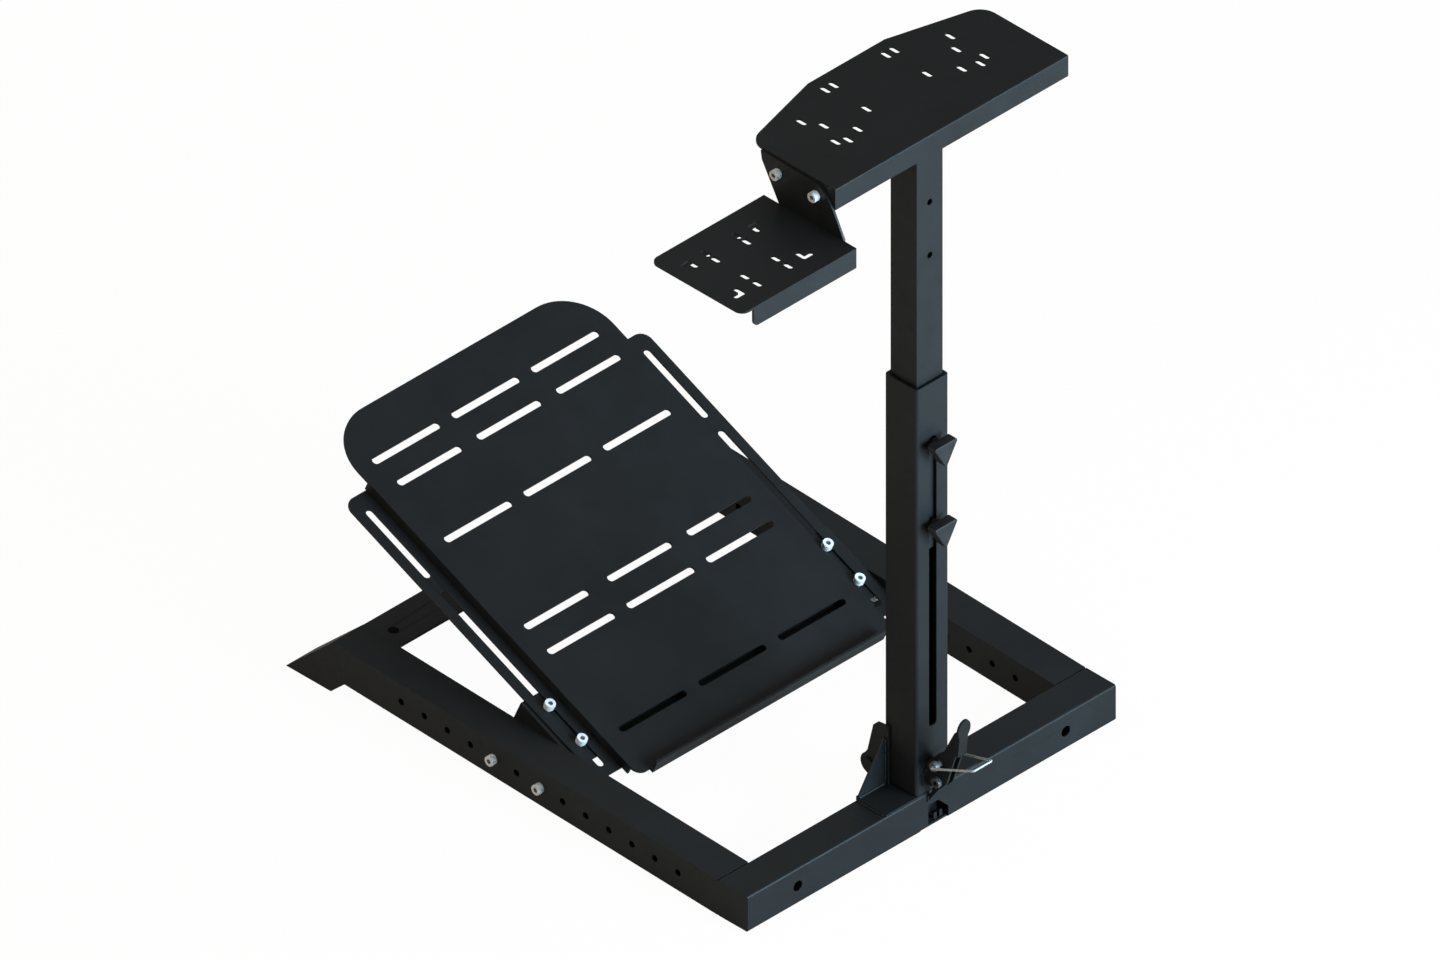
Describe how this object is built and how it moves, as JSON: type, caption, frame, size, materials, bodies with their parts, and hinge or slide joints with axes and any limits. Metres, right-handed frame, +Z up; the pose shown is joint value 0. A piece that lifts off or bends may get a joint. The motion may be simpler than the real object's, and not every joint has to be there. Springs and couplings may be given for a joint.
{
  "type": "racing wheel stand",
  "caption": "Folding racing wheel stand with a height-adjustable post, slotted wheel plate, shifter bracket and an inclined slotted pedal plate on a tube base.",
  "frame": {"origin": "on the floor under the middle of the front crossbar", "axes": "+Z up, +X to the driver's right, +Y forward, from the driver towards the pedals"},
  "size_m": [0.6515, 0.8821, 0.9743],
  "materials": {
    "dark_paint": "satin",
    "bright_steel": "bright",
    "black_plastic": "matte"
  },
  "bodies": {
    "base": {"front_crossbar": "dark_paint", "left_end_cap": "dark_paint", "right_end_cap": "dark_paint", "left_side_rail": "dark_paint", "right_side_rail": "dark_paint", "left_rear_foot": "dark_paint", "right_rear_foot": "dark_paint", "rear_foot_plate": "dark_paint", "anchor_plugs": "black_plastic", "post_base_plate": "dark_paint", "left_post_gusset": "dark_paint", "right_post_gusset": "dark_paint", "left_hinge_ear": "dark_paint", "right_hinge_ear": "dark_paint", "lock_lug": "dark_paint", "fold_bolt": "dark_paint", "left_pedal_bracket": "dark_paint", "right_pedal_bracket": "dark_paint", "left_rail_bolts": "bright_steel", "right_rail_bolts": "bright_steel", "pedal_carrier": "dark_paint", "left_carrier_bolts": "bright_steel", "right_carrier_bolts": "bright_steel", "pedal_plate": "dark_paint"},
    "column": {"outer_post_tube": "dark_paint", "post_knuckles": "dark_paint", "lock_bracket": "dark_paint", "lock_pin": "bright_steel", "wire_bail": "bright_steel", "release_handle": "dark_paint", "fin_bolt": "bright_steel", "post_bush": "black_plastic"},
    "head": {"inner_post_tube": "dark_paint", "upper_clamp_nut": "bright_steel", "lower_clamp_nut": "bright_steel", "wheel_plate": "dark_paint", "shifter_bracket": "dark_paint", "shifter_bolts": "bright_steel"},
    "upper_clamp": {"upper_knob": "black_plastic"},
    "lower_clamp": {"lower_knob": "black_plastic"}
  },
  "joints": [
    {"name": "column_fold", "type": "hinge", "parent": "base", "child": "column", "pos_m": [0, 0.047, 0.0675], "axis": [-1, 0, 0], "range_deg": [0, 60]},
    {"name": "height_slide", "type": "slide", "parent": "column", "child": "head", "axis": [0, 0, -1], "range_m": [0, 0.27]},
    {"name": "upper_knob_turn", "type": "hinge", "parent": "head", "child": "upper_clamp", "pos_m": [0, -0.04, 0.541], "axis": [0, -1, 0], "continuous": true},
    {"name": "lower_knob_turn", "type": "hinge", "parent": "head", "child": "lower_clamp", "pos_m": [0, -0.04, 0.427], "axis": [0, -1, 0], "continuous": true}
  ]
}
